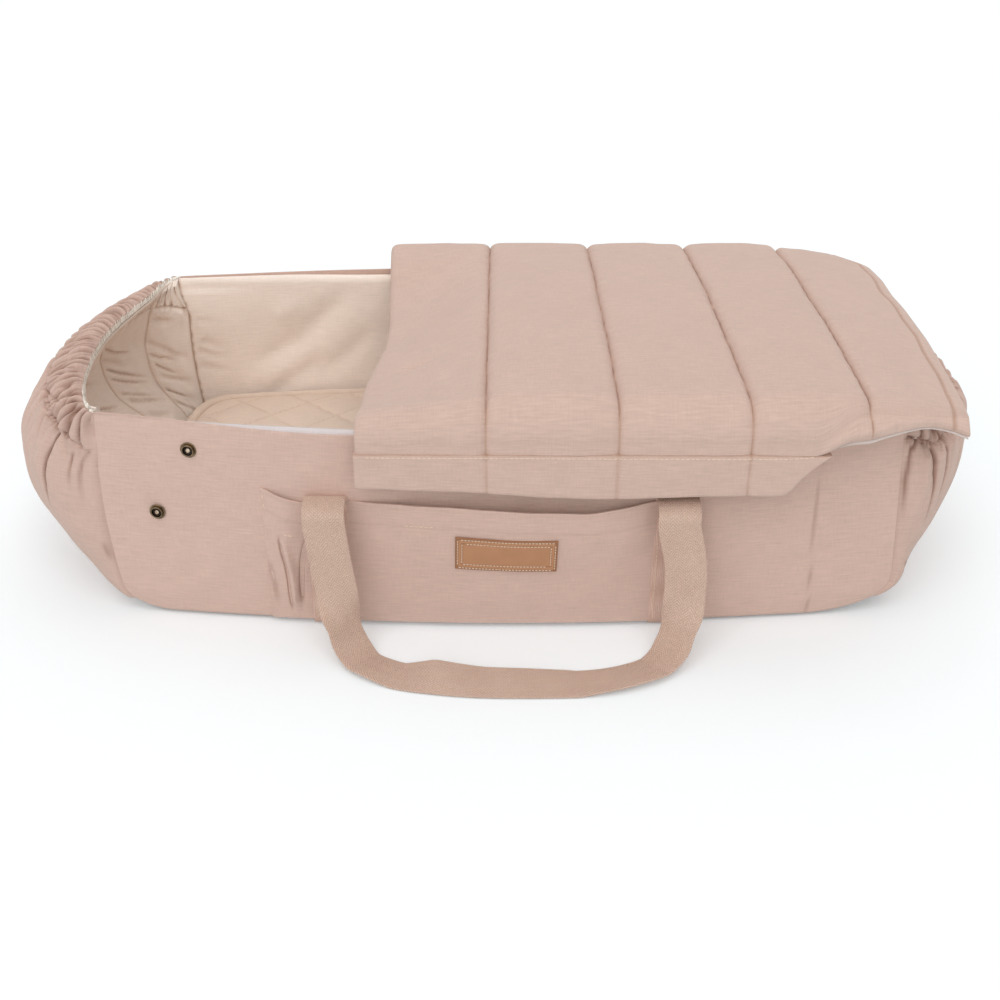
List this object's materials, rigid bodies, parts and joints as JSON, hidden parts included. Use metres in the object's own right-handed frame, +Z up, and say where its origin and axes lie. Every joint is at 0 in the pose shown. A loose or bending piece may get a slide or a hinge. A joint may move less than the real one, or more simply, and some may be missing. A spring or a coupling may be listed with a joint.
{
  "type": "carrycot",
  "caption": "Soft-sided carrycot with a quilted cover that folds back, a padded mattress, a side pocket with a blank leather patch and two webbing carry handles.",
  "frame": {"origin": "on the floor under the middle of the carrycot's whole length and width", "axes": "+X from the head end to the foot end, +Y from the pocket side to the plain side, +Z up"},
  "size_m": [0.752, 0.5342, 0.1927],
  "materials": {
    "rose_cotton": "matte",
    "cream_cotton": "matte",
    "mattress_cotton": "matte",
    "foam": "matte",
    "fibreboard": "matte",
    "elastic": "matte",
    "webbing": "matte",
    "leather": "satin",
    "hook_and_loop": "matte",
    "antique_brass": "satin"
  },
  "bodies": {
    "cot": {"base_outer_panel": "rose_cotton", "base_board": "fibreboard", "base_lining": "cream_cotton", "front_outer_panel": "rose_cotton", "back_outer_panel": "rose_cotton", "front_side_board": "fibreboard", "back_side_board": "fibreboard", "front_lining": "cream_cotton", "back_lining": "cream_cotton", "head_lining": "cream_cotton", "foot_lining": "cream_cotton", "head_outer_gusset": "rose_cotton", "foot_outer_gusset": "rose_cotton", "head_rim_elastic": "elastic", "foot_rim_elastic": "elastic", "front_pocket": "rose_cotton", "leather_patch": "leather", "head_carry_strap": "webbing", "foot_carry_strap": "webbing", "front_upper_stud": "antique_brass", "front_lower_stud": "antique_brass", "back_upper_stud": "antique_brass", "back_lower_stud": "antique_brass", "front_upper_stud_back": "antique_brass", "front_lower_stud_back": "antique_brass", "back_upper_stud_back": "antique_brass", "back_lower_stud_back": "antique_brass", "front_loop_tape": "hook_and_loop", "back_loop_tape": "hook_and_loop"},
    "cover_foot": {"cover_foot_quilt": "rose_cotton", "cover_foot_lining": "cream_cotton", "cover_foot_hem_front": "rose_cotton", "cover_foot_hem_back": "rose_cotton"},
    "cover_head": {"cover_head_quilt": "rose_cotton", "cover_head_lining": "cream_cotton", "cover_head_hem_front": "rose_cotton", "cover_head_hem_back": "rose_cotton", "front_hook_tape": "hook_and_loop", "back_hook_tape": "hook_and_loop"},
    "mattress": {"mattress_foam": "foam", "mattress_quilted_pad": "mattress_cotton"},
    "front_handle": {"front_handle": "webbing"},
    "back_handle": {"back_handle": "webbing"}
  },
  "joints": [
    {"name": "cover_lift", "type": "slide", "parent": "cot", "child": "cover_foot", "axis": [0, 0, 1], "range_m": [0, 0.25]},
    {"name": "cover_fold", "type": "hinge", "parent": "cover_foot", "child": "cover_head", "pos_m": [0.08866, 0, 0.1947], "axis": [0, 1, 0], "range_deg": [0, 175]},
    {"name": "mattress_lift", "type": "slide", "parent": "cot", "child": "mattress", "axis": [0, 0, 1], "range_m": [0, 0.075]},
    {"name": "front_handle_swing", "type": "hinge", "parent": "cot", "child": "front_handle", "pos_m": [0.00806, -0.198, 0.104], "axis": [-1, 0, 0], "range_deg": [0, 160]},
    {"name": "back_handle_swing", "type": "hinge", "parent": "cot", "child": "back_handle", "pos_m": [0.00806, 0.198, 0.104], "axis": [1, 0, 0], "range_deg": [0, 160]}
  ]
}
